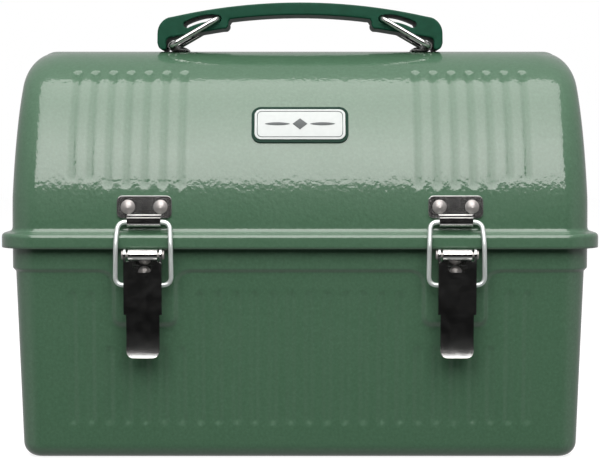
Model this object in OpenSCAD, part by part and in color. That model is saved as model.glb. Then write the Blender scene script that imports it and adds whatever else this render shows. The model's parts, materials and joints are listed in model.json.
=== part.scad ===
// Dome-top steel lunch box with a lifting link handle and two draw latches.
// Millimetres. The origin is the centre of the base's underside: +X right, -Y front, +Z up.

/* [Case] */
// Half length of the walls at the rim
wall_a = 161.6; // [150:0.1:175]
// Half depth of the walls at the rim
wall_b = 78; // [74:0.1:84]
// Corner radius of the walls, seen from above
corner_r = 17; // [16:0.5:20]
// Thickness of the sheet steel
sheet = 0.8; // [0.5:0.1:1]
// Height of the lid's lower edge above the datum
skirt_z = 113.4; // [113:0.1:114]
// How far the lid's rim skirt stands out from its wall
skirt_out = 6; // [5.6:0.1:6.4]

/* [Lid dome] */
// Height above the datum at which the arch starts
arch_z = 122; // [121:0.1:123]
// Rise of the arch to the crown
arch_h = 103.8; // [100:0.1:104]
// Fullness of the arch: 2 is an ellipse
arch_n = 2.15; // [2:0.01:2.3]
// Height of the rounded top edge at each end
end_rise = 23; // [18:0.2:26]
// How far that top edge runs in at each end
end_run = 14.5; // [10:0.5:16]

/* [Base] */
// Radius of the base's bottom edge
foot_r = 8; // [6:0.5:10]
// Height of the step below the rim band, above the datum
step_z = 99.7; // [98:0.1:100]
// Depth of that step
step_in = 1.8; // [1:0.1:2]

/* [Latches] */
// Distance of each latch from the middle
latch_x = 86; // [80:0.5:95]
// How far each lever opens, in degrees
lever_open = 140; // [90:1:140]
// Radius of the bail's wire
bail_r = 1.2; // [1:0.05:1.2]

/* [Handle] */
// Height of the grip's top at its middle, above the datum
grip_top = 253.9; // [253.5:0.1:256]
// Width of the grip, front to back
grip_w = 30; // [24:0.5:31]
// How far the handle lifts
handle_lift = 18; // [16:0.1:18]
// Radius of the link's wire
link_r = 1.6; // [1.4:0.05:1.6]

/* [Hidden] */

// The heights in this file are above a datum level that lies this far above the underside
datum = 5;

$fn = 48;
enamel = [0.42, 0.55, 0.45];
dark_green = [0.13, 0.30, 0.22];
steel = [0.62, 0.63, 0.64];
ivory = [0.92, 0.93, 0.91];

corner_steps = 8;
ring_points = 4 * (corner_steps + 1);
fit = 0.05;      // radial clearance of a pin in its bore
seat = 0.1;      // gap left under a plate that is riveted to the sheet
crown_z = arch_z + arch_h;

// Latch: heights and distances out from the case's middle plane
pin_r = 1.5;
lever_pin = [88, 110.5];
bail_pin = [86.5, 93.8];
hook_bar = [81, 128.1];
lever_half = 10.45;
lever_sheet = 1.2;
keeper_low = 130.2;
keeper_high = 142.6;
keeper_sheet = 1.1;

// Hinges
hinge_pin = [88.6, 116.6];
hinge_half = 15;
knuckle_half = 4.9;
knuckle_r = 2.9;

// Handle links
link_pivot = [75.4, 228.6];
link_bar = [48, 244.4];
link_half = 18;
link_open = 43.7;    // degrees that a link turns over the whole lift
link_reach = norm(link_bar - link_pivot);
link_rest = atan2(link_bar[1] - link_pivot[1], link_pivot[0] - link_bar[0]);
slot_r = link_r + 0.35;
grip_arc = 340;
grip_thick = 7.3;

// Bottle retainer
retainer_pin = [68, 130];
retainer_x = 70;
retainer_front = 70;
retainer_r = 1.5;

// ---- Curves of the case ----

// Depth of the dome at a height, for a skin lying e inside the outer face
function dome_y(z, e = 0) =
    (wall_b - e) * pow(1 - pow(max(z - arch_z, 0) / (arch_h - e), arch_n), 1 / arch_n);
// Slope of the dome's front face away from upright
function dome_tilt(z) = atan((dome_y(z - 1) - dome_y(z + 1)) / 2);
// Point [depth, height] of the arch at angle t
function arch_point(t, e = 0) =
    [(wall_b - e) * pow(cos(t), 2 / arch_n), arch_z + (arch_h - e) * pow(sin(t), 2 / arch_n)];
// Half length of the lid at a height
function end_a(z) = let(z1 = crown_z - end_rise, lean = 0.0363)
    wall_a - max(min(z, z1) - 141, 0) * lean
    - (z > z1 ? end_run * (1 - sqrt(1 - pow((z - z1) / end_rise, 2))) : 0);
// Inset of the base's tapered wall at a height
function base_in(z) = step_in + (step_z - z) * 0.0365;

// Rows are [half length, half depth, corner radius, height]
function rim_row(off, z) = [wall_a + off, wall_b + off, corner_r + off, z];
function dome_row(t, e) = let(p = arch_point(t, e))
    [end_a(p[1] + e) - e, p[0], min(corner_r - e, p[0] - 0.5), p[1]];
function ring(row) = [for (q = [0:3], i = [0:corner_steps])
    let(t = 90 * (q + i / corner_steps), sx = (q == 0 || q == 3) ? 1 : -1, sy = q < 2 ? 1 : -1)
    [sx * (row[0] - row[2]) + row[2] * cos(t), sy * (row[1] - row[2]) + row[2] * sin(t), row[3]]];

// A skin whose rows run over the outside, round the rim and back over the inside
module skin(rows) {
    n = ring_points;
    m = len(rows);
    sides = [for (k = [0:m - 2], i = [0:n - 1])
        let(a = k * n + i, b = k * n + (i + 1) % n)
        each [[a, a + n, b + n], [a, b + n, b]]];
    polyhedron(points = [for (row = rows) each ring(row)],
        faces = concat([[for (i = [0:n - 1]) i]], sides,
            [[for (i = [n - 1:-1:0]) (m - 1) * n + i]]), convexity = 6);
}

// ---- Wire ----

function unit(v) = v / norm(v);
// A path of points with each inner corner rounded by its own radius
function rounded_path(pts, radii) = concat([pts[0]],
    [for (k = [1:len(pts) - 2])
        let(p = pts[k], u = unit(pts[k - 1] - p), v = unit(pts[k + 1] - p), r = radii[k - 1])
        each [for (t = [0:0.2:1])
            (1 - t) * (1 - t) * (p + r * u) + 2 * t * (1 - t) * p + t * t * (p + r * v)]],
    [pts[len(pts) - 1]]);
// A round wire along a path that never runs parallel to the direction up
module wire(path, r, up, sides = 10) {
    last = len(path) - 1;
    points = [for (k = [0:last])
        let(t = unit(path[min(k + 1, last)] - path[max(k - 1, 0)]),
            u = unit(cross(t, up)), v = cross(t, u))
        each [for (i = [0:sides - 1]) path[k] + r * (cos(i * 360 / sides) * u
            + sin(i * 360 / sides) * v)]];
    walls = [for (k = [0:last - 1], i = [0:sides - 1])
        let(a = k * sides + i, b = k * sides + (i + 1) % sides)
        each [[a, a + sides, b + sides], [a, b + sides, b]]];
    polyhedron(points = points, faces = concat([[for (i = [0:sides - 1]) i]], walls,
        [[for (i = [sides - 1:-1:0]) last * sides + i]]), convexity = 8);
}

// ---- Places: inside these, +Y points out of the case ----

module front_at(x) { translate([x, 0, 0]) mirror([0, 1, 0]) children(); }
module rear_at(x) { translate([x, 0, 0]) children(); }
module both_sides(x) { for (s = [-1, 1]) translate([s * x, 0, 0]) children(); }
// A [depth, height] outline made w wide along X
module across(w) { rotate([90, 0, 90]) linear_extrude(w, center = true) children(); }
// An [x, height] outline made into a bar along Y that crosses the wall
module outline() { translate([0, 110, 0]) rotate([90, 0, 0]) linear_extrude(60) children(); }
// Local +Z points straight out of the front wall of the dome at height z
module on_dome(x, z, gap) {
    translate([x, dome_y(z), z]) rotate([dome_tilt(z) - 90, 0, 0]) translate([0, 0, gap]) children();
}
module outward() { rotate([-90, 0, 0]) children(); }

module rounded_rect(w, h, r) {
    square([w - 2 * r, h], center = true);
    square([w, h - 2 * r], center = true);
    for (x = [-1, 1], y = [-1, 1]) translate([x * (w / 2 - r), y * (h / 2 - r)]) circle(r);
}

// ---- Fasteners ----

// A rivet along Z whose head rests at zero: shank through the grip, upset tail behind it
module rivet(head_r, head_h, shank_r, grip) {
    ball = (head_r * head_r + head_h * head_h) / (2 * head_h);
    intersection() {
        translate([0, 0, head_h - ball]) sphere(ball);
        cylinder(r = head_r + 1, h = head_h + 1);
    }
    translate([0, 0, -grip - 0.6]) cylinder(r = shank_r, h = grip + 0.6 + head_h / 2);
    translate([0, 0, -grip - 1.2]) cylinder(r = shank_r * 1.45, h = 1.2);
}
module rivet_hole(shank_r) { translate([0, 0, -6]) cylinder(r = shank_r + fit, h = 12); }
module pin_hole(at, r, w) { across(w) translate(at) circle(r); }

keeper_mid = (keeper_low + keeper_high) / 2;
module keeper_rivet_places() {
    for (x = [-9, 9]) on_dome(x, keeper_mid, keeper_sheet + 0.15) children();
}
latch_plate_face = wall_b + 0.05 + 1.1;
module latch_rivet_places() {
    for (z = [88, 100.5]) translate([0, latch_plate_face, z]) outward() children();
}
hinge_leaf_face = wall_b + 0.05 + 1.2;
module hinge_lower_rivet_places() {
    for (x = [-10, 10]) translate([x, hinge_leaf_face, 99]) outward() children();
}
upper_leaf_z = 136;
module hinge_upper_rivet_places() {
    for (x = [-10, 10]) on_dome(x, upper_leaf_z, 1.35) children();
}
bracket_sheet = 1.1;
bracket_half = 11;
bracket_in = 66.1;
bracket_top = crown_z + seat + bracket_sheet;
module bracket_rivet_places() {
    for (y = [-6, 6]) translate([69.3, y, bracket_top]) children();
}

// ---- Base ----

// A raised pad of the base wall, level with the rim band, which carries a latch or a hinge
module wall_pad() {
    low = 71;
    intersection() {
        across(34.4) polygon([[wall_b - base_in(low) - 0.4, low], [wall_b, low],
            [wall_b, step_z + 2.5], [wall_b - sheet / 2, step_z + 2.5],
            [wall_b - step_in - 0.4, step_z]]);
        outline() translate([0, 90]) rounded_rect(34.4, 2 * (90 - low), 4);
    }
}
module base_shell() {
    curl = [1.5, 119];
    curl_r = 1.9;
    outer = [for (t = [0:15:90]) let(z = foot_r * (1 - cos(t)) - datum)
        rim_row(-base_in(z) - foot_r * (1 - sin(t)), z)];
    inner = [for (t = [90:-15:0]) let(z = sheet + (foot_r - sheet) * (1 - cos(t)) - datum)
        rim_row(-base_in(z) - sheet - (foot_r - sheet) * (1 - sin(t)), z)];
    band = [rim_row(-step_in, step_z), rim_row(-0.4, step_z + 0.9), rim_row(0, step_z + 2.4),
        rim_row(0, curl[1] - 2.4)];
    bead = [for (t = [-100:30:170]) rim_row(curl[0] + curl_r * cos(t), curl[1] + curl_r * sin(t))];
    back = [rim_row(-sheet, curl[1] - 1.6), rim_row(-sheet, step_z + 2.7),
        rim_row(-sheet - 0.4, step_z + 1.2), rim_row(-sheet - step_in, step_z + 0.3)];
    color(enamel) difference() {
        union() {
            skin(concat(outer, band, bead, back, inner));
            front_at(0) both_sides(latch_x) wall_pad();
            rear_at(0) both_sides(latch_x) wall_pad();
        }
        front_at(0) both_sides(latch_x) latch_rivet_places() rivet_hole(1.8);
        rear_at(0) both_sides(latch_x) hinge_lower_rivet_places() rivet_hole(1.6);
    }
}

// ---- Lid ----

module lid_shell() {
    o = skirt_out;
    arch_steps = [2.2, 6, 12, 20, 28, 36, 44, 52, 60, 67, 74, 80, 85, 88];
    inner = [for (k = [len(arch_steps) - 1:-1:0]) dome_row(arch_steps[k], sheet)];
    rim_inner = [rim_row(-sheet, 124.7), rim_row(-0.5, 123.1), rim_row(0.4, 121.9),
        rim_row(1.9, 121.2), rim_row(o - 2.7, 120.7), rim_row(o - 1.7, 120.1),
        rim_row(o - 1.1, 119.5), rim_row(o - sheet, 118.9), rim_row(o - sheet, skirt_z)];
    rim_outer = [rim_row(o, skirt_z), rim_row(o, 119), rim_row(o - 0.3, 120.1),
        rim_row(o - 1, 120.9), rim_row(o - 2.2, 121.5), rim_row(2.4, 121.9),
        rim_row(1.1, 122.6), rim_row(0.3, 123.6), rim_row(0, 124.9)];
    outer = [for (t = arch_steps) dome_row(t, 0)];
    color(enamel) difference() {
        skin(concat(inner, rim_inner, rim_outer, outer));
        front_at(0) both_sides(latch_x) keeper_rivet_places() rivet_hole(2);
        rear_at(0) both_sides(latch_x) hinge_upper_rivet_places() rivet_hole(1.6);
        for (s = [0, 1]) mirror([s, 0, 0]) bracket_rivet_places() rivet_hole(1.5);
    }
}

badge_z = 181.7;
// A piece of plate that follows the dome, from out1 to out2 off its face
module badge_piece(w, h, r, out1, out2) {
    steps = [22:1.5:46];
    face = [for (t = steps) arch_point(t, -out2)];
    back = [for (t = steps) arch_point(t, -out1)];
    intersection() {
        across(w + 2) polygon(concat(face, [for (k = [len(back) - 1:-1:0]) back[k]]));
        on_dome(0, badge_z, -8) linear_extrude(16) rounded_rect(w, h, r);
    }
}
module badge_plate() { color(dark_green) front_at(0) badge_piece(54, 22, 5.3, seat, 1); }
module badge_insert() { color(ivory) front_at(0) badge_piece(50.6, 18.6, 3.7, 1, 1.4); }

module keeper(x) {
    bend_in = 1.45;
    bend_out = bend_in + keeper_sheet;
    gap = 0.2;
    color(steel) front_at(x) difference() {
        union() {
            intersection() {
                across(30.3) polygon([
                    [dome_y(keeper_low) + gap, keeper_low],
                    [dome_y(keeper_low) + gap + keeper_sheet, keeper_low],
                    [dome_y(keeper_high) + gap + keeper_sheet, keeper_high],
                    [dome_y(keeper_high) + gap, keeper_high]]);
                outline() translate([0, keeper_mid])
                    rounded_rect(30.3, keeper_high - keeper_low, 3);
            }
            across(18.6) {
                difference() {
                    translate(hook_bar) circle(bend_out);
                    translate(hook_bar) circle(bend_in);
                    translate(hook_bar - [bend_out + 1, 0]) square([2 * bend_out + 2, bend_out + 1]);
                }
                translate(hook_bar - [bend_out, 0.01])
                    square([keeper_sheet, keeper_low + 1.8 - hook_bar[1]]);
                translate(hook_bar + [bend_in, -0.01]) square([keeper_sheet, 2.6]);
            }
        }
        keeper_rivet_places() rivet_hole(2);
    }
}
module keeper_rivets() {
    color(steel) front_at(0) both_sides(latch_x) keeper_rivet_places() rivet(3.9, 1.8, 2, 2.3);
}

// ---- Latches ----

module latch_plate(x) {
    ring_r = 3.1;
    face = latch_plate_face;
    back = face - 1.1;
    p = lever_pin;
    color(steel) front_at(x) difference() {
        union() {
            intersection() {
                across(20) polygon([[back, 82], [face, 82], [face, 106.2], [back, 106.2]]);
                outline() translate([0, 96]) rounded_rect(20, 28, 3);
            }
            across(16) {
                polygon([[back, 104.2], [face, 104.2], [p[0], p[1] - ring_r],
                    [p[0] - 1, p[1] - 1.8], [back, 106.2]]);
                translate(p) circle(ring_r);
            }
        }
        pin_hole(p, pin_r + fit, 30);
        latch_rivet_places() rivet_hole(1.8);
    }
}
module latch_plate_rivets() {
    color(steel) front_at(0) both_sides(latch_x) latch_rivet_places() rivet(3.4, 1.5, 1.8, 5);
}
module latch_pin(x) {
    color(steel) front_at(x) {
        across(23.4) translate(lever_pin) circle(pin_r);
        for (s = [-1, 1]) translate([s * 11.15, 0, 0]) across(1.1) translate(lever_pin) circle(2.4);
    }
}
module lever(x) {
    shoulder = 77.8;
    top = 106.8;
    tip = 54.1;
    ear_r = 3.4;
    // Middle line of the pressed face: [depth, height]
    face = [[90.6, top], [90.3, 90], [89.9, 79], [89, 70], [89, 62], [89.6, 58], [90.6, tip]];
    half = lever_sheet / 2;
    color(steel) front_at(x) difference() {
        union() {
            intersection() {
                across(24) polygon(concat([for (p = face) p + [half, 0]],
                    [for (k = [len(face) - 1:-1:0]) face[k] - [half, 0]]));
                outline() {
                    translate([0, (shoulder + top) / 2])
                        rounded_rect(2 * lever_half, top - shoulder, 2);
                    translate([0, tip + 15]) rounded_rect(18.2, 30, 4);
                }
            }
            both_sides(lever_half - half) across(lever_sheet) {
                polygon([[90.2, shoulder], [90.6, top], lever_pin + [ear_r, 0],
                    lever_pin - [ear_r, 0], [84, 104], [84, 84], [86.5, 79.5]]);
                translate(lever_pin) circle(ear_r);
            }
        }
        pin_hole(lever_pin, pin_r + fit, 30);
        pin_hole(bail_pin, bail_r + fit, 30);
        outline() {
            translate([0, 109]) rounded_rect(11, 16, 3);
        }
    }
}
module bail(x) {
    foot = [15.4, bail_pin[0], bail_pin[1]];
    knee = [15, 86.8, 118.6];
    top = [14.2, hook_bar[0], hook_bar[1]];
    right = [top, knee, foot, foot - [3.4, 0, 0]];
    left = [for (k = [3:-1:0]) [-right[k][0], right[k][1], right[k][2]]];
    color(steel) front_at(x) {
        wire(rounded_path(concat(left, right), [2.8, 5, 4.6, 4.6, 5, 2.8]), bail_r, [0, 1, 0]);
        for (s = [-1, 1]) translate([s * 10.5, 0, 0])
            across(4.4) translate(bail_pin) circle(bail_r);
    }
}

// ---- Hinges ----

module hinge_leaf_lower(x) {
    face = hinge_leaf_face;
    back = face - 1.2;
    p = hinge_pin;
    out = p[0] + knuckle_r;
    color(steel) rear_at(x) difference() {
        union() {
            intersection() {
                across(2 * hinge_half) polygon([[back, 90], [face, 90], [face, 110.8], [back, 110.8]]);
                outline() translate([0, 102]) rounded_rect(2 * hinge_half, 24, 3);
            }
            across(2 * hinge_half) {
                polygon([[back, 109.6], [out, 109.6], [out, p[1]], [out - 1.2, p[1]],
                    [out - 1.2, 110.8], [back, 110.8]]);
                translate(p) circle(knuckle_r);
            }
        }
        translate([0, p[0], p[1]]) cube([2 * knuckle_half + 0.6, 9, 11.2], center = true);
        pin_hole(p, pin_r + fit, 40);
        hinge_lower_rivet_places() rivet_hole(1.6);
    }
}
module hinge_leaf_upper(x) {
    p = hinge_pin;
    out = p[0] + knuckle_r;
    low = 125.6;
    high = 143;
    gap = 0.32;
    color(steel) rear_at(x) difference() {
        union() {
            intersection() {
                across(2 * hinge_half) polygon([[dome_y(low) + gap, low],
                    [dome_y(low) + gap + 1.2, low], [dome_y(high) + gap + 1.2, high],
                    [dome_y(high) + gap, high]]);
                outline() translate([0, high - 15]) rounded_rect(2 * hinge_half, 30, 3);
            }
            across(2 * knuckle_half) {
                polygon([[dome_y(low) + gap, low], [out - 1.2, low], [out - 1.2, p[1]],
                    [out, p[1]], [out, low + 1.2], [dome_y(low) + gap, low + 1.2]]);
                translate(p) circle(knuckle_r);
            }
        }
        pin_hole(p, pin_r + fit, 40);
        hinge_upper_rivet_places() rivet_hole(1.6);
    }
}
module hinge_pin(x) {
    color(steel) rear_at(x) {
        across(2 * hinge_half + 1.6) translate(hinge_pin) circle(pin_r);
        for (s = [-1, 1]) translate([s * (hinge_half + 0.65), 0, 0])
            across(0.9) translate(hinge_pin) circle(2.1);
    }
}
module hinge_lower_rivets() {
    color(steel) rear_at(0) both_sides(latch_x) hinge_lower_rivet_places() rivet(2.8, 1.1, 1.6, 4.4);
}
module hinge_upper_rivets() {
    color(steel) rear_at(0) both_sides(latch_x) hinge_upper_rivet_places() rivet(2.8, 1.1, 1.6, 2.5);
}

// ---- Handle ----

// The upper bar's place in the handle after a lift of s
function slot_point(s) = let(t = link_rest + link_open * s / handle_lift)
    [link_pivot[0] - link_reach * cos(t), link_pivot[1] + link_reach * sin(t) - s];
function arc_z(x, r) = grip_top - grip_arc + sqrt(r * r - x * x);

module grip_half() {
    under = grip_arc - grip_thick;
    top = [for (x = [0:9.25:74]) [x, arc_z(x, grip_arc)]];
    shoulder = [for (t = [24:12:90]) [74 + 9.8 * sin(t), 235.9 + 9.8 * cos(t)]];
    foot = [[83.9, 230.4], [83.2, 228.2], [81.6, 226.6], [80, 226.2], [78.8, 227], [78.6, 228.6]];
    web = [[79, 230.4], [78.3, 232], [76.8, 233.1], [74.6, 233.6], [46, 238.4]];
    nose = [for (t = [250:-22:162]) [45 + 3.1 * cos(t), 241.4 + 3.1 * sin(t)]];
    belly = [for (x = [41:-8.2:0]) [x, arc_z(x, under)]];
    polygon(concat(top, shoulder, foot, web, nose, belly));
}
module slot_shape() {
    centre = [for (k = [0:12]) slot_point(handle_lift * k / 12)];
    normals = [for (k = [0:12])
        let(t = unit(centre[min(k + 1, 12)] - centre[max(k - 1, 0)])) [-t[1], t[0]] * slot_r];
    polygon(concat([for (k = [0:12]) centre[k] + normals[k]],
        [for (k = [12:-1:0]) centre[k] - normals[k]]));
    for (k = [0, 12]) translate(centre[k]) circle(slot_r);
}
module handle_grip() {
    color(dark_green) rotate([90, 0, 0]) linear_extrude(grip_w, center = true)
        for (s = [0, 1]) mirror([s, 0]) difference() {
            grip_half();
            slot_shape();
        }
}
module link_loop() {
    bend = 4;
    for (x = [0, link_reach]) translate([x, 0, 0]) rotate([90, 0, 0])
        cylinder(r = link_r, h = 2 * (link_half - bend), center = true);
    for (y = [-link_half, link_half]) translate([bend, y, 0]) rotate([0, 90, 0])
        cylinder(r = link_r, h = link_reach - 2 * bend);
    for (x = [0, 1], y = [0, 1])
        translate([x ? link_reach - bend : bend, (link_half - bend) * (y ? 1 : -1), 0])
            rotate([0, 0, x ? (y ? 0 : 270) : (y ? 90 : 180)])
                rotate_extrude(angle = 90) translate([bend, 0]) circle(link_r);
}
module handle_link(side) {
    color(steel) mirror([side, 0, 0]) translate([link_pivot[0], 0, link_pivot[1]])
        rotate([0, 180 + link_rest, 0]) link_loop();
}
module handle_bracket(side) {
    curl_r = link_pivot[1] - crown_z - seat;
    color(steel) mirror([side, 0, 0]) difference() {
        union() {
            translate([bracket_in, -bracket_half, crown_z + seat])
                cube([link_pivot[0] - bracket_in, 2 * bracket_half, bracket_sheet]);
            translate([link_pivot[0], 0, link_pivot[1]]) rotate([90, 0, 0])
                cylinder(r = curl_r, h = 2 * bracket_half, center = true);
        }
        translate([link_pivot[0], 0, link_pivot[1]]) rotate([90, 0, 0])
            cylinder(r = link_r + fit, h = 30, center = true);
        bracket_rivet_places() rivet_hole(1.5);
    }
}
module handle_bracket_rivets() {
    color(steel) for (s = [0, 1]) mirror([s, 0, 0]) bracket_rivet_places() rivet(2.9, 1.1, 1.5, 2.4);
}

// ---- Bottle retainer inside the dome ----

module retainer_foot(low, high) {
    polygon([[dome_y(low, sheet) - seat, low], [dome_y(low, sheet) - seat - 1, low],
        [dome_y(high, sheet) - seat - 1, high], [dome_y(high, sheet) - seat, high]]);
}
module retainer_clip(x) {
    p = retainer_pin;
    color(steel) rear_at(x) difference() {
        union() {
            across(12) retainer_foot(126, 133);
            across(3) {
                polygon([[76.4, 128.2], [76.4, 131.8], [p[0], p[1] + 3], [p[0], p[1] - 3]]);
                translate(p) circle(3);
            }
        }
        pin_hole(p, retainer_r + fit, 14);
    }
}
module retainer_catch() {
    p = [retainer_front, retainer_pin[1]];
    color(steel) front_at(0) {
        across(16) retainer_foot(127, 137);
        across(14) difference() {
            union() {
                polygon([[76.3, 132], [76.3, 133.6], [p[0], p[1] + 2.9], [p[0], p[1] + 1.9]]);
                translate(p) circle(2.9);
            }
            translate(p) circle(1.9);
            translate(p - [1.9, 4]) square([3.8, 4]);
        }
    }
}
module bottle_retainer() {
    y1 = retainer_pin[0];
    y0 = -retainer_front;
    z = retainer_pin[1];
    x = retainer_x;
    path = [[-x - 3, y1, z], [-x, y1, z], [-x, y0, z], [x, y0, z], [x, y1, z], [x + 3, y1, z]];
    color(steel) {
        wire(rounded_path(path, [2.4, 9, 9, 2.4]), retainer_r, [0, 0, 1]);
        for (s = [-1, 1]) translate([s * (x + 5), 0, 0])
            across(5) translate([y1, z]) circle(retainer_r);
    }
}

module raised() { translate([0, 0, datum]) children(); }

raised() base_shell();
raised() latch_plate(-latch_x);  // latch_plate_left
raised() latch_plate(latch_x);  // latch_plate_right
raised() latch_pin(-latch_x);  // latch_pin_left
raised() latch_pin(latch_x);  // latch_pin_right
raised() latch_plate_rivets();
raised() hinge_leaf_lower(-latch_x);  // hinge_leaf_lower_left
raised() hinge_leaf_lower(latch_x);  // hinge_leaf_lower_right
raised() hinge_pin(-latch_x);  // hinge_pin_left
raised() hinge_pin(latch_x);  // hinge_pin_right
raised() hinge_lower_rivets();
raised() lid_shell();
raised() badge_plate();
raised() badge_insert();
raised() keeper(-latch_x);  // keeper_left
raised() keeper(latch_x);  // keeper_right
raised() keeper_rivets();
raised() hinge_leaf_upper(-latch_x);  // hinge_leaf_upper_left
raised() hinge_leaf_upper(latch_x);  // hinge_leaf_upper_right
raised() hinge_upper_rivets();
raised() handle_bracket(1);  // handle_bracket_left
raised() handle_bracket(0);  // handle_bracket_right
raised() handle_bracket_rivets();
raised() retainer_clip(-retainer_x - 5);  // retainer_clip_left
raised() retainer_clip(retainer_x + 5);  // retainer_clip_right
raised() retainer_catch();
raised() bottle_retainer();
raised() lever(-latch_x);  // latch_lever_left
raised() lever(latch_x);  // latch_lever_right
raised() bail(-latch_x);  // latch_bail_left
raised() bail(latch_x);  // latch_bail_right
raised() handle_grip();
raised() handle_link(1);  // handle_link_left
raised() handle_link(0);  // handle_link_right
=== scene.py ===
"""Looks for the steel lunch box: grooved shells, soft-edged hardware, handle, badge and studio."""
import json
import math

import bmesh
import bpy
import numpy as np
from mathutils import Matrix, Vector
from mathutils.geometry import tessellate_polygon

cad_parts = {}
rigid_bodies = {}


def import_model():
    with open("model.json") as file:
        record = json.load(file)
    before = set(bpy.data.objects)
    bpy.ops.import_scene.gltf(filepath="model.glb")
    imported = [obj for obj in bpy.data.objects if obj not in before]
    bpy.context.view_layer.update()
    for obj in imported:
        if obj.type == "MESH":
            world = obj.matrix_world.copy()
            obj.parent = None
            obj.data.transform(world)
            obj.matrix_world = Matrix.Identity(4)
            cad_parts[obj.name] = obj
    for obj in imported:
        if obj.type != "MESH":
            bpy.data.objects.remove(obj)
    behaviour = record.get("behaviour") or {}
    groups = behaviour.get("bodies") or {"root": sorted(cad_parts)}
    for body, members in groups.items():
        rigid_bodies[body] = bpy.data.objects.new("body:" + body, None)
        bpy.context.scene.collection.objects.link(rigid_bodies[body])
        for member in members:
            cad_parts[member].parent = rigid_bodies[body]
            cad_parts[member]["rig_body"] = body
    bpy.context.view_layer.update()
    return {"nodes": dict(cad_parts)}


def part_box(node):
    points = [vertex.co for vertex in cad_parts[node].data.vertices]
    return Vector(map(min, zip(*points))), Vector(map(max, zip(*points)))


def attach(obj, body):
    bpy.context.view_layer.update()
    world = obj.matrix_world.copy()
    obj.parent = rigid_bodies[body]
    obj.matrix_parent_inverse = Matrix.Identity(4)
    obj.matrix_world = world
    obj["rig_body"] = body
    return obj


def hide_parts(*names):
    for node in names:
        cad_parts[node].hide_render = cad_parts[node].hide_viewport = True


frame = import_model()
MM = 0.001

# ---- Sizes in millimetres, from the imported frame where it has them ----
lid_low, lid_high = (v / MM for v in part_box("lid_shell"))
grip_low, grip_high = (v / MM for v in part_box("handle_grip"))
SHEET = 0.8  # thickness of the steel
SKIRT_OUT = 6.0  # how far the lid's rim skirt stands out from its wall
WALL_A = lid_high.x - SKIRT_OUT  # half length of the walls at the rim
WALL_B = lid_high.y - SKIRT_OUT  # half depth there
CORNER_R = 17.0  # upright corners of the case
SKIRT_Z = lid_low.z
SKIRT_TOP = 127.3
DOME_Z = 130.6  # where the rim's bend ends and the dome begins
CROWN_Z = lid_high.z
ARCH_Z = 127.0  # foot of the dome's arch, a superellipse
ARCH_N = 2.15  # its exponent
END_RISE = 23.0  # height of the rounding at each end of the crown
END_RUN = 14.5  # its length
LEAN = 0.0363  # how much the lid's ends lean in, above LEAN_Z
LEAN_Z = 146.0
STEP_Z = 105.9  # middle of the step below the base's rim band
STEP_IN = 1.8
TAPER = 0.0365  # how much the base's wall draws in below the step
FOOT_R = 8.0  # rounding round the underside
RIM_R = 1.2  # curl of the base's rim
RIM_Z = 123.8
LATCH_X = 86.0
PAD_HALF = 17.2  # half width of the raised pad under each latch
PAD_LOW = 76.0
PAD_R = 4.0
FILLET = 9.0  # blend between a pad and the rim band
GROOVE_PITCH = 10.13
GROOVE_HALF = 3.6
LID_GROOVE = 0.42  # depth of the lid's grooves
END_DEEPER = 2.6  # how much deeper they are at their upper ends
END_REACH = 5.0  # how far down from there
LID_GROOVE_LOW = (151.0, 155.0)  # lower end of the inner five grooves, and of the outer two
LID_GROOVE_HIGH = 218.0
BASE_GROOVE = 0.9
BASE_GROOVE_LOW = 18.4
BASE_GROOVE_HIGH = (95.3, 64.5)  # upper end, and the same below a latch pad
BADGE_Z = 186.7


# ---- Small mesh helpers ----
def add_object(name, verts_mm, faces):
    """A smooth-shaded object from points in millimetres."""
    mesh = bpy.data.meshes.new(name)
    mesh.from_pydata([tuple(v) for v in np.asarray(verts_mm) * MM], [], faces)
    mesh.validate()
    mesh.update()
    for p in mesh.polygons:
        p.use_smooth = True
    obj = bpy.data.objects.new(name, mesh)
    bpy.context.scene.collection.objects.link(obj)
    return obj


def grid_faces(rows, columns, closed=True):
    """Quads between neighbouring rings of a grid of points."""
    last = columns if closed else columns - 1
    k, i = np.meshgrid(np.arange(rows - 1), np.arange(last), indexing="ij")
    j = (i + 1) % columns
    quads = np.stack([k * columns + i, k * columns + j, (k + 1) * columns + j, (k + 1) * columns + i], -1)
    return quads.reshape(-1, 4).tolist()


def smooth_step(x):
    """0 to 1 with level ends."""
    x = np.clip(x, 0, 1)
    return x * x * (3 - 2 * x)


def rounded_line(points, radii, steps=6):
    """The points of a line whose inner corners are rounded by a quadratic curve."""
    points = [np.array(p, float) for p in points]
    out = [points[0]]
    for k in range(1, len(points) - 1):
        p, r = points[k], radii[k - 1]
        u = (points[k - 1] - p) / np.linalg.norm(points[k - 1] - p)
        v = (points[k + 1] - p) / np.linalg.norm(points[k + 1] - p)
        for t in np.linspace(0, 1, steps + 1):
            out.append((1 - t) ** 2 * (p + r * u) + 2 * t * (1 - t) * p + t * t * (p + r * v))
    return np.array(out + [points[-1]])


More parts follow.
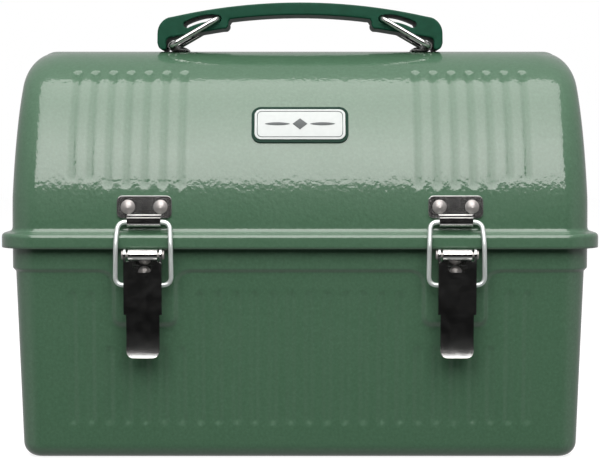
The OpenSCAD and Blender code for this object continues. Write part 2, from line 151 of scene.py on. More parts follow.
def wire(name, path, radius, up, sides=20):
    """A round wire with domed ends along a path that never runs parallel to up."""
    path = np.asarray(path, float)
    ahead = np.vstack([path[1:], path[-1:]]) - np.vstack([path[:1], path[:-1]])
    t = ahead / np.linalg.norm(ahead, axis=1)[:, None]
    u = np.cross(t, up)
    u /= np.linalg.norm(u, axis=1)[:, None]
    v = np.cross(t, u)
    angle = np.linspace(0, 2 * np.pi, sides, endpoint=False)
    around = np.cos(angle)[None, :, None] * u[:, None] + np.sin(angle)[None, :, None] * v[:, None]
    rings = path[:, None] + radius * around
    caps = []
    for end, sign in ((0, -1), (-1, 1)):
        for squeeze, push in ((0.92, 0.25), (0.7, 0.5)):
            caps.append(path[end] + sign * push * radius * 0.5 * t[end] + squeeze * radius * around[end])
    rings = np.concatenate([[caps[1], caps[0]], rings, [caps[2], caps[3]]])
    count = len(rings)
    faces = grid_faces(count, sides)
    faces = [f[::-1] for f in faces]
    faces.append(list(range(sides)))
    faces.append([(count - 1) * sides + i for i in reversed(range(sides))])
    obj = add_object(name, rings.reshape(-1, 3), faces)
    recalculate_normals(obj)
    return obj


def recalculate_normals(obj):
    """Turn all of a closed mesh's faces outward."""
    work = bmesh.new()
    work.from_mesh(obj.data)
    bmesh.ops.recalc_face_normals(work, faces=work.faces)
    work.to_mesh(obj.data)
    work.free()


def softened(node, name, width, material, segments=3):
    """A copy of a CAD node with its flat faces joined and its edges rounded, which stands for that node."""
    source = frame["nodes"][node]
    obj = bpy.data.objects.new(name, source.data.copy())
    obj.data.materials.clear()
    bpy.context.scene.collection.objects.link(obj)
    work = bmesh.new()
    work.from_mesh(obj.data)
    bmesh.ops.remove_doubles(work, verts=work.verts, dist=1e-6)
    bmesh.ops.dissolve_limit(work, angle_limit=math.radians(0.5), verts=work.verts, edges=work.edges)
    sharp = [e for e in work.edges if len(e.link_faces) == 2 and e.calc_face_angle(0) > math.radians(28)]
    bmesh.ops.bevel(work, geom=sharp, offset=width * MM, segments=segments, profile=0.5,
                    affect="EDGES", clamp_overlap=True)
    bmesh.ops.recalc_face_normals(work, faces=work.faces)
    work.to_mesh(obj.data)
    work.free()
    for p in obj.data.polygons:
        p.use_smooth = True
    normals = obj.modifiers.new("even normals", "WEIGHTED_NORMAL")
    normals.keep_sharp = False
    obj.data.materials.append(material)
    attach(obj, source["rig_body"])
    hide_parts(node)
    return obj


def finish_piece(obj, body, slot, material, *nodes):
    obj.data.materials.clear()
    obj.data.materials.append(material)
    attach(obj, body)
    if nodes:
        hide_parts(*nodes)
    return obj


# ---- Materials ----
def new_material(name):
    material = bpy.data.materials.new(name)
    material.use_nodes = True
    nodes, links = material.node_tree.nodes, material.node_tree.links
    shader = nodes["Principled BSDF"]
    coords = nodes.new("ShaderNodeTexCoord")
    return material, nodes, links, shader, coords


def noise(nodes, links, coords, scale, detail=2.0, roughness=0.5):
    node = nodes.new("ShaderNodeTexNoise")
    node.inputs["Scale"].default_value = scale
    node.inputs["Detail"].default_value = detail
    node.inputs["Roughness"].default_value = roughness
    links.new(coords.outputs["Object"], node.inputs["Vector"])
    return node


def ramp(nodes, links, source, stops):
    node = nodes.new("ShaderNodeValToRGB")
    while len(node.color_ramp.elements) < len(stops):
        node.color_ramp.elements.new(0.5)
    for element, (at, colour) in zip(node.color_ramp.elements, stops):
        element.position = at
        element.color = (*colour, 1)
    links.new(source, node.inputs["Fac"])
    return node


def bump(nodes, links, source, strength, distance, before=None):
    node = nodes.new("ShaderNodeBump")
    node.inputs["Strength"].default_value = strength
    node.inputs["Distance"].default_value = distance
    links.new(source, node.inputs["Height"])
    if before:
        links.new(before.outputs["Normal"], node.inputs["Normal"])
    return node


def enamel_material():
    """Green hammertone enamel: mottled colour under a glossy skin with an orange-peel ripple,
    which is a little duller where a mesh's groove attribute says so."""
    material, nodes, links, shader, coords = new_material("green_enamel")
    mottle = noise(nodes, links, coords, 620, 3, 0.6)
    greens = [(0.25, (0.041, 0.094, 0.053)), (0.55, (0.049, 0.108, 0.063)), (0.85, (0.061, 0.126, 0.077))]
    colour = ramp(nodes, links, mottle.outputs["Fac"], greens)
    links.new(colour.outputs["Color"], shader.inputs["Base Color"])
    peel = noise(nodes, links, coords, 420, 1.5, 0.45)
    fine = noise(nodes, links, coords, 1300, 1, 0.5)
    wide = bump(nodes, links, peel.outputs["Fac"], 0.5, 0.00022)
    skin = bump(nodes, links, fine.outputs["Fac"], 0.25, 0.00008, wide)
    links.new(skin.outputs["Normal"], shader.inputs["Normal"])
    links.new(skin.outputs["Normal"], shader.inputs["Coat Normal"])
    patches = noise(nodes, links, coords, 60, 2)
    rough = ramp(nodes, links, patches.outputs["Fac"], [(0.3, (0.34,) * 3), (0.7, (0.46,) * 3)])
    links.new(rough.outputs["Color"], shader.inputs["Roughness"])
    shader.inputs["Specular IOR Level"].default_value = 0.2
    shader.inputs["Coat Weight"].default_value = 1.0
    groove = nodes.new("ShaderNodeAttribute")
    groove.attribute_name = "groove"
    gloss = ramp(nodes, links, groove.outputs["Fac"], [(0.1, (1.0,) * 3), (0.75, (0.72,) * 3)])
    links.new(gloss.outputs["Color"], shader.inputs["Coat Weight"])
    shader.inputs["Coat Roughness"].default_value = 0.07
    shader.inputs["Coat IOR"].default_value = 1.5
    return material


def metal_material(name, colour, roughness, scratch, metallic=1.0):
    """Plated steel with a faint grain and a slightly uneven polish."""
    material, nodes, links, shader, coords = new_material(name)
    stretch = nodes.new("ShaderNodeMapping")
    stretch.inputs["Scale"].default_value = (1, 1, 0.06)
    links.new(coords.outputs["Object"], stretch.inputs["Vector"])
    grain = nodes.new("ShaderNodeTexNoise")
    grain.inputs["Scale"].default_value = 2600
    grain.inputs["Detail"].default_value = 2
    links.new(stretch.outputs["Vector"], grain.inputs["Vector"])
    cloud = noise(nodes, links, coords, 180, 3)
    rough = ramp(nodes, links, cloud.outputs["Fac"],
                 [(0.35, (roughness * 0.9,) * 3), (0.7, (roughness * 1.12,) * 3)])
    links.new(rough.outputs["Color"], shader.inputs["Roughness"])
    tint = ramp(nodes, links, cloud.outputs["Fac"],
                [(0.3, tuple(c * 0.93 for c in colour)), (0.7, colour)])
    links.new(tint.outputs["Color"], shader.inputs["Base Color"])
    relief = bump(nodes, links, grain.outputs["Fac"], scratch, 0.00003)
    links.new(relief.outputs["Normal"], shader.inputs["Normal"])
    shader.inputs["Metallic"].default_value = metallic
    return material


def plastic_material():
    """Dark green moulded plastic with a fine satin texture."""
    material, nodes, links, shader, coords = new_material("handle_plastic")
    cloud = noise(nodes, links, coords, 240, 3)
    colour = ramp(nodes, links, cloud.outputs["Fac"],
                  [(0.3, (0.004, 0.040, 0.021)), (0.7, (0.006, 0.050, 0.028))])
    links.new(colour.outputs["Color"], shader.inputs["Base Color"])
    spark = noise(nodes, links, coords, 2400, 2, 0.6)
    relief = bump(nodes, links, spark.outputs["Fac"], 0.35, 0.00006)
    links.new(relief.outputs["Normal"], shader.inputs["Normal"])
    rough = ramp(nodes, links, cloud.outputs["Fac"], [(0.3, (0.5,) * 3), (0.7, (0.58,) * 3)])
    links.new(rough.outputs["Color"], shader.inputs["Roughness"])
    shader.inputs["Specular IOR Level"].default_value = 0.12
    return material


def badge_material(name, colour, ripple, coat):
    """Fired enamel for the badge."""
    material, nodes, links, shader, coords = new_material(name)
    cloud = noise(nodes, links, coords, 400, 2)
    tone = ramp(nodes, links, cloud.outputs["Fac"],
                [(0.3, tuple(c * 0.96 for c in colour)), (0.7, colour)])
    links.new(tone.outputs["Color"], shader.inputs["Base Color"])
    relief = bump(nodes, links, cloud.outputs["Fac"], ripple, 0.00008)
    links.new(relief.outputs["Normal"], shader.inputs["Normal"])
    shader.inputs["Roughness"].default_value = 0.5
    shader.inputs["Specular IOR Level"].default_value = 0.1
    shader.inputs["Coat Weight"].default_value = coat
    shader.inputs["Coat Roughness"].default_value = 0.12
    return material


ENAMEL = enamel_material()
PLATE = metal_material("nickel_plate", (0.56, 0.56, 0.55), 0.17, 0.3)
LEVER = metal_material("nickel_lever", (0.50, 0.51, 0.50), 0.18, 0.4)
RIVET = metal_material("nickel_rivet", (0.33, 0.315, 0.305), 0.44, 0.25, 0.7)
WIRE = metal_material("zinc_wire", (0.62, 0.67, 0.65), 0.36, 0.15, 0.65)
PLASTIC = plastic_material()
BRACKET = metal_material("dark_plate", (0.13, 0.135, 0.13), 0.38, 0.3)
BADGE_GREEN = badge_material("badge_green", (0.003, 0.024, 0.014), 0.15, 0.0)
BADGE_WHITE = badge_material("badge_white", (0.46, 0.49, 0.48), 0.1, 0.05)
BADGE_GREY = badge_material("badge_grey", (0.10, 0.11, 0.11), 0.1, 0.0)


# ---- Shape of the case ----
def plan_outline(a, b, r, front_steps, back_steps, side_steps, front_corner, back_corner):
    """Points and outward normals of the case seen from above, anticlockwise from the front's left end."""
    points, normals = [], []

    def straight(p, q, n, steps):
        for t in np.linspace(0, 1, steps, endpoint=False):
            points.append((p[0] + (q[0] - p[0]) * t, p[1] + (q[1] - p[1]) * t))
            normals.append(n)

    def corner(cx, cy, start, steps):
        for t in np.linspace(0, 90, steps, endpoint=False):
            s = math.radians(start + t)
            points.append((cx + r * math.cos(s), cy + r * math.sin(s)))
            normals.append((math.cos(s), math.sin(s)))

    x, y = a - r, b - r
    straight((-x, -b), (x, -b), (0, -1), front_steps)
    corner(x, -y, -90, front_corner)
    straight((a, -y), (a, y), (1, 0), side_steps)
    corner(x, y, 0, back_corner)
    straight((x, b), (-x, b), (0, 1), back_steps)
    corner(-x, y, 90, back_corner)
    straight((-a, y), (-a, -y), (-1, 0), side_steps)
    corner(-x, -y, 180, front_corner)
    return np.array(points), np.array(normals)


def groove_depth(x, s, centre, low, high):
    """0 to 1 inside an upright V-shaped groove with a rounded bottom, shoulders and ends."""
    u = np.linspace(0, 1, 60)
    slope = np.clip(u / 0.25, 0, 1) * np.clip((1 - u) / 0.25, 0, 1)
    profile = np.cumsum(slope) / slope.sum()
    nearest = np.clip(s, low + GROOVE_HALF, high - GROOVE_HALF)
    d = np.hypot(x - centre, s - nearest) / GROOVE_HALF
    return np.interp(1 - d, u, profile, left=0)


def grid_normals(rings):
    """Outward normals of a closed grid of points [row, column]."""
    along = np.roll(rings, -1, 1) - np.roll(rings, 1, 1)
    up = np.gradient(rings, axis=0)
    n = np.cross(along, up)
    return n / np.maximum(np.linalg.norm(n, axis=2), 1e-9)[..., None]


def shell_object(name, rings, close_low, close_high):
    rows, columns = rings.shape[:2]
    faces = grid_faces(rows, columns)
    if close_low:
        faces.append(list(reversed(range(columns))))
    if close_high:
        faces.append([(rows - 1) * columns + i for i in range(columns)])
    obj = add_object(name, rings.reshape(-1, 3), faces)
    thick = obj.modifiers.new("sheet", "SOLIDIFY")
    thick.thickness = SHEET * MM
    thick.offset = -1
    return obj


FRONT_STEPS = 380
SHELL_STEPS = dict(front_steps=FRONT_STEPS, back_steps=64, side_steps=22, front_corner=30, back_corner=14)


def dome_rows():
    """[half length, half depth, corner radius, height, distance up the wall] of the dome's rings."""
    rise = CROWN_Z - ARCH_Z
    t = np.radians(np.linspace(1.2, 89.75, 4000))
    b = WALL_B * np.cos(t) ** (2 / ARCH_N)
    z = ARCH_Z + rise * np.sin(t) ** (2 / ARCH_N)
    s = np.concatenate([[0], np.cumsum(np.hypot(np.diff(b), np.diff(z)))])
    want = np.arange(2.2, s[-1], 1.25)
    rows = []
    for d in list(want) + [s[-1]]:
        bb, zz = np.interp(d, s, b), np.interp(d, s, z)
        z1 = CROWN_Z - END_RISE
        a = WALL_A - max(min(zz, z1) - LEAN_Z, 0) * LEAN
        if zz > z1:
            a -= END_RUN * (1 - math.sqrt(max(0, 1 - ((zz - z1) / END_RISE) ** 2)))
        rows.append((a, bb, min(CORNER_R, bb - 0.2), zz, d))
    return rows


def make_lid():
    rim = [(SKIRT_OUT, SKIRT_Z), (SKIRT_OUT, SKIRT_TOP - 1), (0, SKIRT_TOP), (0, DOME_Z)]
    rim = rounded_line(rim, [2.3, 2.7], 7)
    low_part = [(SKIRT_OUT, SKIRT_Z + k) for k in (0.0, 1.6, 3.2, 4.6)] + [tuple(p) for p in rim[1:]]
    points, normals = plan_outline(WALL_A, WALL_B, CORNER_R, **SHELL_STEPS)
    rings = [np.column_stack([points + off * normals, np.full(len(points), z)])
             for off, z in low_part[:-1]]
    distance = [z - DOME_Z for _, z in low_part[:-1]]
    for a, b, r, z, d in dome_rows():
        ring, _ = plan_outline(a, b, r, **SHELL_STEPS)
        rings.append(np.column_stack([ring, np.full(len(ring), z)]))
        distance.append(d)
    rings, distance = np.array(rings), np.array(distance)
    heights = rings[:, 0, 2]
    up_wall = np.interp(rings[..., 2], heights, distance)
    x = rings[..., 0]
    depth = np.zeros_like(x)
    for side in (-1, 1):
        for k in range(7):
            centre = side * (6.5 + k) * GROOVE_PITCH
            low = np.interp(LID_GROOVE_LOW[k >= 5], heights, distance)
            high = np.interp(LID_GROOVE_HIGH, heights, distance)
            deeper = 1 + END_DEEPER * np.exp(-((high - up_wall) / END_REACH) ** 2)
            depth = np.maximum(depth, deeper * groove_depth(x, up_wall, centre, low, high))
    move = -LID_GROOVE * depth
    move[rings[..., 1] > -5] = 0
    rings = rings + move[..., None] * grid_normals(rings)
    lid = shell_object("lid_shell_fine", rings, False, True)
    groove = lid.data.attributes.new("groove", "FLOAT", "POINT")
    groove.data.foreach_set("value", -move.ravel() / LID_GROOVE)
    return finish_piece(lid, "lid", "enamel", ENAMEL, "lid_shell")


def make_base():
    low = [(-FOOT_R * (1 - math.sin(t)), FOOT_R * (1 - math.cos(t)))
           for t in np.radians(np.arange(0, 90, 7.5))]
    # rows of the wall, close together over the step
    wall_z = [np.arange(FOOT_R, 102.5, 1.25), np.arange(102.6, 110, 0.45), np.arange(111, 123.5, 2.2)]
    wall = [(0.0, z) for z in np.concatenate(wall_z)]
    curl = [(RIM_R + RIM_R * math.cos(t), RIM_Z + RIM_R * math.sin(t))
            for t in np.radians(np.arange(180, -150, -22))]
    points, normals = plan_outline(WALL_A, WALL_B, CORNER_R, **SHELL_STEPS)
    x = points[:, 0]
    rings = []
    for off, z in low + wall + curl:
        taper = STEP_IN + (STEP_Z - 1.2 - min(z, STEP_Z)) * TAPER
        # signed distances to the rim band and to the raised pads, blended with a fillet
        band = np.full(len(x), STEP_Z - z)
        px = np.abs(np.abs(x) - LATCH_X) - (PAD_HALF - PAD_R)
        pz = PAD_LOW + PAD_R - z
        pad = np.hypot(np.maximum(px, 0), max(pz, 0)) + np.minimum(np.maximum(px, pz), 0) - PAD_R
        pad = np.where(np.abs(normals[:, 1]) > 0.9, pad, 50)
        blend = np.clip(0.5 + 0.5 * (pad - band) / FILLET, 0, 1)
        edge = pad * (1 - blend) + band * blend - FILLET * blend * (1 - blend)
        raised = smooth_step(0.5 - edge / 2.6)
        inset = off - taper * (1 - raised)
        groove = np.zeros(len(x))
        for side in (-1, 1):
            for k in range(13):
                centre = side * (0.5 + k) * GROOVE_PITCH
                high = BASE_GROOVE_HIGH[6 <= k <= 10]
                groove = np.maximum(groove, groove_depth(x, z, centre, BASE_GROOVE_LOW, high))
        inset = inset - BASE_GROOVE * groove * (normals[:, 1] < -0.9)
        rings.append(np.column_stack([points + inset[:, None] * normals, np.full(len(x), z)]))
    base = shell_object("base_shell_fine", np.array(rings), True, False)
    return finish_piece(base, "base", "enamel", ENAMEL, "base_shell")


# ---- Handle ----
LINK_PIVOT = np.array([75.4, 233.6])  # x and z of a link's lower bar
LINK_BAR = np.array([48.0, 249.4])  # and of its upper bar at rest
LINK_OPEN = math.radians(43.7)
HANDLE_LIFT = 18.0
SLOT_R = 1.95
GRIP_ARC = 340.0  # radius of the grip's upper edge
GRIP_THICK = 7.3
GRIP_EDGE = 1.0  # rounding of the grip's long edges


def slot_centre():
    """The upper bar's path in the handle over the whole lift."""
    reach = np.linalg.norm(LINK_BAR - LINK_PIVOT)
    rest = math.atan2(LINK_BAR[1] - LINK_PIVOT[1], LINK_PIVOT[0] - LINK_BAR[0])
    u = np.linspace(0, 1, 17)
    t = rest + LINK_OPEN * u
    x = LINK_PIVOT[0] - reach * np.cos(t)
    return np.column_stack([x, LINK_PIVOT[1] + reach * np.sin(t) - HANDLE_LIFT * u])


def slot_outline(radius):
    centre = slot_centre()
    t = np.gradient(centre, axis=0)
    t /= np.linalg.norm(t, axis=1)[:, None]
    n = np.column_stack([-t[:, 1], t[:, 0]])

    def cap(at, direction):
        start = math.atan2(direction[1], direction[0])
        return [at + radius * np.array([math.cos(start - s), math.sin(start - s)])
                for s in np.linspace(0, np.pi, 9)[1:-1]]

    return np.array([*(centre + radius * n), *cap(centre[-1], n[-1]), *(centre - radius * n)[::-1],
                     *cap(centre[0], -n[0])])


def grip_outline():
    """The handle's outline seen from the front, right half first."""
    def arc(x, r):
        return grip_high.z - GRIP_ARC + math.sqrt(r * r - x * x)

    top = [(x, arc(x, GRIP_ARC)) for x in np.linspace(0, 74, 13)]
    shoulder = [(74 + 9.8 * math.sin(t), 240.9 + 9.8 * math.cos(t))
                for t in np.radians(np.arange(20, 91, 10))]
    lower = [(83.9, 235.4), (82.8, 231.2), (78.6, 231.2), (79.1, 238.2), (74.6, 238.7), (46, 243.4)]
    lower = [tuple(p) for p in rounded_line(lower, [2.7, 1.4, 3.6, 0.8, 3.2], 6)]
    nose = [(45 + 3.1 * math.cos(t), 246.4 + 3.1 * math.sin(t))
            for t in np.radians(np.arange(250, 160, -11))]
    belly = [(x, arc(x, GRIP_ARC - GRIP_THICK)) for x in np.linspace(41, 0, 9)]
    half = top + shoulder + lower + nose + belly
    return half + [(-x, z) for x, z in half[-2:0:-1]]


def grown_inward(outline, distance):
    """The outline moved to its left, which is into the material for a hole that runs clockwise."""
    ahead = np.roll(outline, -1, 0) - outline
    ahead /= np.linalg.norm(ahead, axis=1)[:, None]
    side = np.column_stack([-ahead[:, 1], ahead[:, 0]])
    both = side + np.roll(side, 1, 0)
    both /= np.linalg.norm(both, axis=1)[:, None]
    return outline + distance * both / np.maximum((both * side).sum(1), 0.6)[:, None]


def turned(outline, anticlockwise):
    """The outline's points in the wanted order."""
    outline = np.array(outline, float)
    after = np.roll(outline, -1, 0)
    area = (outline[:, 0] * after[:, 1] - after[:, 0] * outline[:, 1]).sum()
    return outline if (area > 0) == anticlockwise else outline[::-1]


def make_grip():
    half_width = (grip_high.y - grip_low.y) / 2
    slot = slot_outline(SLOT_R)
    loops = [(turned(grip_outline(), True), GRIP_EDGE), (turned(slot, False), 0.5),
             (turned(slot * [-1, 1], False), 0.5)]
    verts, faces, ends = [], [], [[], []]
    for outline, edge in loops:
        first, count = len(verts), len(outline)
        turns = np.radians([90, 68, 45, 22, 0])
        levels = [(-1, t) for t in turns] + [(1, t) for t in turns[::-1]]
        for side, t in levels:
            ring = grown_inward(outline, edge * (1 - math.cos(t)))
            y = side * (half_width - edge + edge * math.sin(t))
            verts += [(x, y, z) for x, z in ring]
        faces += [[first + i for i in f] for f in grid_faces(len(levels), count)]
        for end, at in zip(ends, (first, first + (len(levels) - 1) * count)):
            end.append(list(range(at, at + count)))
    for end in ends:
        flat = [[Vector((verts[i][0], verts[i][2], 0)) for i in loop] for loop in end]
        order = [i for loop in end for i in loop]
        faces += [[order[i] for i in triangle] for triangle in tessellate_polygon(flat)]
    obj = add_object("handle_grip_fine", verts, faces)
    recalculate_normals(obj)
    normals = obj.modifiers.new("even normals", "WEIGHTED_NORMAL")
    normals.keep_sharp = False
    return finish_piece(obj, "handle", "handle", PLASTIC, "handle_grip")


# ---- Latches ----
def make_bail(name):
    """The bent wire of one latch, from one lever hole over the hook to the other."""
    lo, hi = (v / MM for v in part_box(f"latch_bail_{name}"))
    middle = (lo.x + hi.x) / 2
    radius = 1.3
    # the right half, from the lever's hole up to the hook
    foot = np.array([15.4, -86.5, 98.8])
    knee = np.array([15.0, -86.8, 123.6])
    top = np.array([14.2, -81.0, 133.1])
    inner = np.array([8.6, -86.5, 98.8])
    half = [inner, foot, knee, top]
    flip = np.array([-1, 1, 1])
    corners = [p * flip for p in half] + half[::-1]
    path = rounded_line(corners, [5, 5, 4.6, 4.6, 5, 5], 9) + [middle, 0, 0]
    obj = wire(f"latch_bail_{name}_wire", path, radius, (0, 1, 0))
    return finish_piece(obj, f"bail_{name}", "wire", WIRE, f"latch_bail_{name}")


def make_retainer():
    lo, hi = (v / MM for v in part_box("bottle_retainer"))
    y1, y0, z, x, radius = hi.y - 1.5, lo.y + 1.5, (lo.z + hi.z) / 2, 70.0, 1.5
    corners = [(lo.x, y1, z), (-x, y1, z), (-x, y0, z), (x, y0, z), (x, y1, z), (hi.x, y1, z)]
    obj = wire("bottle_retainer_wire", rounded_line(corners, [2.4, 9, 9, 2.4], 9), radius, (0, 0, 1))
    return finish_piece(obj, "retainer", "wire", WIRE, "bottle_retainer")


# ---- Badge ----
def dome_tilt(z):
    """Upward tilt in radians of the dome's front at a height."""
    rise = CROWN_Z - ARCH_Z

    def depth(h):
        return WALL_B * (1 - ((h - ARCH_Z) / rise) ** ARCH_N) ** (1 / ARCH_N)

    return math.atan((depth(z - 1) - depth(z + 1)) / 2)


def on_dome(x, s, out):
    """A point x along and s up the dome's face from the badge's middle, and out off it."""
    rise = CROWN_Z - ARCH_Z
    t = np.radians(np.linspace(15, 55, 800))
    b = WALL_B * np.cos(t) ** (2 / ARCH_N)
    z = ARCH_Z + rise * np.sin(t) ** (2 / ARCH_N)
    up = np.concatenate([[0], np.cumsum(np.hypot(np.diff(b), np.diff(z)))])
    up -= np.interp(BADGE_Z, z, up)
    bb, zz = np.interp(s, up, b), np.interp(s, up, z)
    tilt = dome_tilt(zz)
    return (x, -(bb + out * math.cos(tilt)), zz + out * math.sin(tilt))


def dome_patch(name, outline, low, high, round_edge):
    """A thin raised piece on the badge: its outline is in millimetres along and up the dome."""
    outline = np.array(outline, float)
    centre = outline.mean(0)
    rings = []
    size = np.abs(outline - centre).max(0)
    part_way = 0.3 * round_edge
    for inset, out in ((0, low), (0, high - round_edge), (part_way, high - part_way), (round_edge, high)):
        shrink = 1 - inset / size
        rings.append([on_dome(*(centre + (p - centre) * shrink), out) for p in outline])
    count = len(outline)
    faces = grid_faces(len(rings), count)
    faces.append(list(reversed(range(count))))
    faces.append([(len(rings) - 1) * count + i for i in range(count)])
    obj = add_object(name, np.array(rings).reshape(-1, 3), faces)
    recalculate_normals(obj)
    return obj


def rounded_rect(w, h, r, steps=8):
    out = []
    for cx, cy, start in ((1, 1, 0), (-1, 1, 90), (-1, -1, 180), (1, -1, 270)):
        for t in np.radians(np.linspace(start, start + 90, steps + 1)):
            out.append((cx * (w / 2 - r) + r * math.cos(t), cy * (h / 2 - r) + r * math.sin(t)))
    return out


def make_badge():
    softened("badge_plate", "badge_border", 0.3, BADGE_GREEN)
    softened("badge_insert", "badge_field", 0.15, BADGE_WHITE)
    loop = [on_dome(x, s, 1.42) for x, s in rounded_rect(47.6, 15.6, 2.6)]
    path = np.array(loop + loop[:1])
    stripe = wire("badge_pinstripe", path, 0.22, (0, -1, 0.5), 8)
    finish_piece(stripe, "lid", "badge_border", BADGE_GREY)
    diamond = [(4.2 * math.cos(t), 3.4 * math.sin(t)) for t in np.radians(np.arange(0, 360, 90))]
    dense = []
    for k in range(4):
        p, q = np.array(diamond[k]), np.array(diamond[(k + 1) % 4])
        dense += [tuple(p + (q - p) * u) for u in np.linspace(0, 1, 5, endpoint=False)]
    mark = dome_patch("badge_diamond", dense, 1.3, 1.62, 0.15)
    finish_piece(mark, "lid", "badge_border", BADGE_GREY)
    for side, name in ((-1, "left"), (1, "right")):
        bar = [(side * 12.6 + 7 * math.cos(t), 0.95 * math.sin(t) * (0.55 + 0.45 * abs(math.sin(t))))
               for t in np.radians(np.arange(0, 360, 15))]
        piece = dome_patch(f"badge_bar_{name}", bar, 1.3, 1.6, 0.12)
        finish_piece(piece, "lid", "badge_border", BADGE_GREY)


# ---- Studio ----
SOFTBOX = 6.5  # its glow


def make_camera():
    camera = bpy.data.objects.new("camera", bpy.data.cameras.new("camera"))
    bpy.context.scene.collection.objects.link(camera)
    camera.data.lens = 98.5
    camera.data.sensor_width = 36
    camera.location = (0, -0.984, 0.179)
    camera.rotation_euler = (math.radians(90 - 3.2), 0, 0)
    bpy.context.scene.camera = camera


def make_floor():
    """A white floor that the camera sees, but that doesn't mirror in the enamel."""
    bpy.ops.mesh.primitive_grid_add(x_subdivisions=4, y_subdivisions=4, size=8)
    floor = bpy.context.object
    floor.name = "floor"
    floor.location.z = -0.0003
    floor.visible_glossy = False
    floor.visible_diffuse = False
    material, _, _, shader, _ = new_material("floor")
    shader.inputs["Base Color"].default_value = (0.3, 0.3, 0.3, 1)
    shader.inputs["Roughness"].default_value = 0.9
    shader.inputs["Emission Color"].default_value = (1, 1, 1, 1)
    shader.inputs["Emission Strength"].default_value = 0.82
    floor.data.materials.append(material)


def make_softbox():
    """A softbox curved from low in front to just behind the zenith, dimmer at its top and its ends."""
    radius, half_width, steps = 1.5, 0.8, 24
    lowest, highest = 18.5, 93.5
    rows = []
    for t in np.radians(np.linspace(lowest, highest, steps)):
        y, z = -radius * math.cos(t), 0.1 + radius * math.sin(t)
        rows.append([(-half_width, y, z), (half_width, y, z)])
    verts = np.array(rows).reshape(-1, 3) / MM
    faces = [(2 * k, 2 * k + 1, 2 * k + 3, 2 * k + 2) for k in range(steps - 1)]
    box = add_object("softbox", verts, faces)
    material = bpy.data.materials.new("softbox")
    material.use_nodes = True
    nodes, links = material.node_tree.nodes, material.node_tree.links
    nodes.clear()
    out = nodes.new("ShaderNodeOutputMaterial")
    glow = nodes.new("ShaderNodeEmission")
    coords = nodes.new("ShaderNodeTexCoord")
    split = nodes.new("ShaderNodeSeparateXYZ")
    links.new(coords.outputs["Object"], split.inputs["Vector"])
    away = nodes.new("ShaderNodeMath")
    away.operation = "ABSOLUTE"
    links.new(split.outputs["X"], away.inputs[0])
    fall = nodes.new("ShaderNodeMapRange")
    fall.interpolation_type = "SMOOTHSTEP"
    fall.inputs["From Min"].default_value = 0.2
    fall.inputs["From Max"].default_value = 1.0
    fall.inputs["To Min"].default_value = SOFTBOX
    fall.inputs["To Max"].default_value = 0.88 * SOFTBOX
    links.new(away.outputs[0], fall.inputs["Value"])
    high = nodes.new("ShaderNodeMapRange")
    high.inputs["From Min"].default_value = 1.0
    high.inputs["From Max"].default_value = 1.5
    high.inputs["To Min"].default_value = 1.0
    high.inputs["To Max"].default_value = 0.66
    links.new(split.outputs["Z"], high.inputs["Value"])
    both = nodes.new("ShaderNodeMath")
    both.operation = "MULTIPLY"
    links.new(fall.outputs["Result"], both.inputs[0])
    links.new(high.outputs["Result"], both.inputs[1])
    links.new(both.outputs[0], glow.inputs["Strength"])
    glow.inputs["Color"].default_value = (1, 0.97, 0.965, 1)
    links.new(glow.outputs["Emission"], out.inputs["Surface"])
    box.data.materials.append(material)
    box.visible_camera = False


def make_world():
    """White to the camera; to the object, nearly black low in front and soft grey everywhere else."""
    world = bpy.data.worlds.new("studio")
    bpy.context.scene.world = world
    world.use_nodes = True
    nodes, links = world.node_tree.nodes, world.node_tree.links
    nodes.clear()
    out = nodes.new("ShaderNodeOutputWorld")
    coords = nodes.new("ShaderNodeTexCoord")
    split = nodes.new("ShaderNodeSeparateXYZ")
    links.new(coords.outputs["Generated"], split.inputs["Vector"])
    front = nodes.new("ShaderNodeMapRange")
    front.inputs["From Min"].default_value = -0.93
    front.inputs["From Max"].default_value = -0.5
    front.inputs["To Min"].default_value = 0.004
    front.inputs["To Max"].default_value = 0.6
    links.new(split.outputs["Y"], front.inputs["Value"])
    soft = nodes.new("ShaderNodeBackground")
    links.new(front.outputs["Result"], soft.inputs["Strength"])
    white = nodes.new("ShaderNodeBackground")
    white.inputs["Color"].default_value = (1, 1, 1, 1)
    path = nodes.new("ShaderNodeLightPath")
    mix = nodes.new("ShaderNodeMixShader")
    links.new(path.outputs["Is Camera Ray"], mix.inputs["Fac"])
    links.new(soft.outputs["Background"], mix.inputs[1])
    links.new(white.outputs["Background"], mix.inputs[2])
    links.new(mix.outputs["Shader"], out.inputs["Surface"])


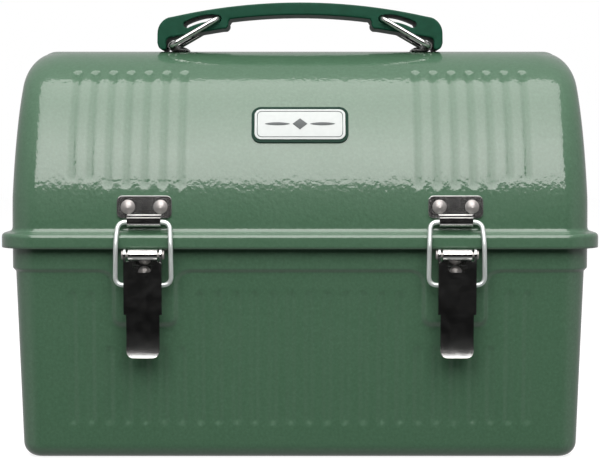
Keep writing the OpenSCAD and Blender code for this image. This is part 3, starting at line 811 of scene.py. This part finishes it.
def ease_tip(lever):
    """Spread the bend of a lever's tip over its lower half, where the solid bends in two flat steps."""
    top, rise = 74.5, 0.00041
    work = bmesh.new()
    work.from_mesh(lever.data)
    for z in (60.3, 61.7, 64.2, 65.5, 68.4, 70.2, 72.2):
        bmesh.ops.bisect_plane(work, geom=work.verts[:] + work.edges[:] + work.faces[:],
                               plane_co=(0, 0, z * MM), plane_no=(0, 0, 1))
    for v in work.verts:
        z = v.co.z / MM
        if z < top:
            solid = np.interp(z, [59.1, 63, 67], [90.6, 89.6, 89.0])
            v.co.y -= (89.0 + rise * (top - z) ** 3 - solid) * MM
    work.to_mesh(lever.data)
    work.free()


def carry_over(node, material):
    """Keep the CAD node's own mesh and give it a better material."""
    obj = frame["nodes"][node]
    obj.data.materials.clear()
    obj.data.materials.append(material)


def make_hardware():
    """Soft-edged copies of the pressed pieces and pins; rivets and links keep their CAD meshes."""
    soft_nodes = {
        "hardware": (PLATE, 0.22, ["keeper_left", "keeper_right", "latch_plate_left", "latch_plate_right",
                                   "hinge_leaf_lower_left", "hinge_leaf_lower_right",
                                   "hinge_leaf_upper_left", "hinge_leaf_upper_right",
                                   "retainer_clip_left", "retainer_clip_right", "retainer_catch"]),
        "rivet": (RIVET, 0.25, ["latch_pin_left", "latch_pin_right", "hinge_pin_left", "hinge_pin_right"]),
    }
    for slot, (material, width, names) in soft_nodes.items():
        for node in names:
            softened(node, node + "_soft", width, material)
    for node in ("handle_bracket_left", "handle_bracket_right"):
        softened(node, node + "_soft", 0.22, BRACKET)
    for node in ("latch_lever_left", "latch_lever_right"):
        ease_tip(softened(node, node + "_soft", 0.6, LEVER, 4))
    for node in ("keeper_rivets", "latch_plate_rivets", "hinge_lower_rivets", "hinge_upper_rivets"):
        carry_over(node, RIVET)
    carry_over("handle_bracket_rivets", BRACKET)
    for node in ("handle_link_left", "handle_link_right"):
        carry_over(node, PLATE)


make_lid()
make_base()
make_grip()
make_hardware()
for name in ("left", "right"):
    make_bail(name)
make_retainer()
make_badge()
make_floor()
make_softbox()
make_world()
make_camera()
bpy.context.scene.view_settings.view_transform = "Standard"
